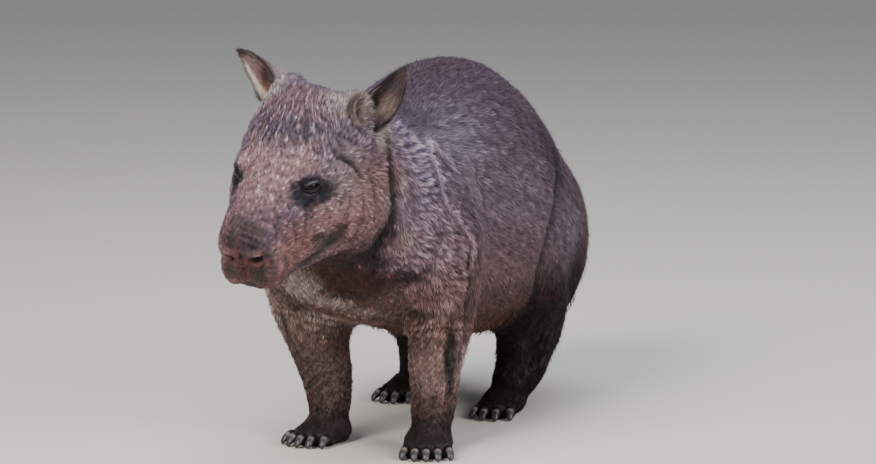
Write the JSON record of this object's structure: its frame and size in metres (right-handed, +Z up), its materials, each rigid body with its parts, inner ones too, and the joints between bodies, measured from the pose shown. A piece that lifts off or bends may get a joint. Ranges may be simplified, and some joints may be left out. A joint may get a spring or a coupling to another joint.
{
  "type": "southern hairy-nosed wombat model",
  "caption": "Life-size still model of a standing southern hairy-nosed wombat, its back arched and its head lowered and turned slightly, with leaf-shaped ears and clawed feet.",
  "frame": {"origin": "on the floor, in the middle of the model's footprint", "axes": "+Z up, -Y towards the animal's nose, +X towards its left side"},
  "size_m": [0.2762, 0.8154, 0.4556],
  "materials": {
    "fur": "short matt grey-brown fur, paler on the face",
    "dark_fur": "short matt dark brown fur of the feet and hind legs",
    "ear_skin": "thin skin with short sparse hair",
    "eye": "wet dark brown",
    "claw": "worn greyish horn"
  },
  "bodies": {
    "root": {"claw_forefoot_left_1": "claw", "claw_forefoot_left_2": "claw", "claw_forefoot_left_3": "claw", "claw_forefoot_left_4": "claw", "claw_forefoot_left_5": "claw", "claw_forefoot_right_1": "claw", "claw_forefoot_right_2": "claw", "claw_forefoot_right_3": "claw", "claw_forefoot_right_4": "claw", "claw_forefoot_right_5": "claw", "claw_hindfoot_left_1": "claw", "claw_hindfoot_left_2": "claw", "claw_hindfoot_left_3": "claw", "claw_hindfoot_left_4": "claw", "claw_hindfoot_right_1": "claw", "claw_hindfoot_right_2": "claw", "claw_hindfoot_right_3": "claw", "claw_hindfoot_right_4": "claw", "ear_left": "ear_skin", "ear_right": "ear_skin", "eye_left": "eye", "eye_right": "eye", "forefoot_left": "dark_fur", "forefoot_right": "dark_fur", "foreleg_left": "fur", "foreleg_right": "fur", "head": "fur", "hindfoot_left": "dark_fur", "hindfoot_right": "dark_fur", "hindleg_left": "dark_fur", "hindleg_right": "dark_fur", "neck": "fur", "tail": "fur", "torso": "fur"}
  },
  "joints": []
}
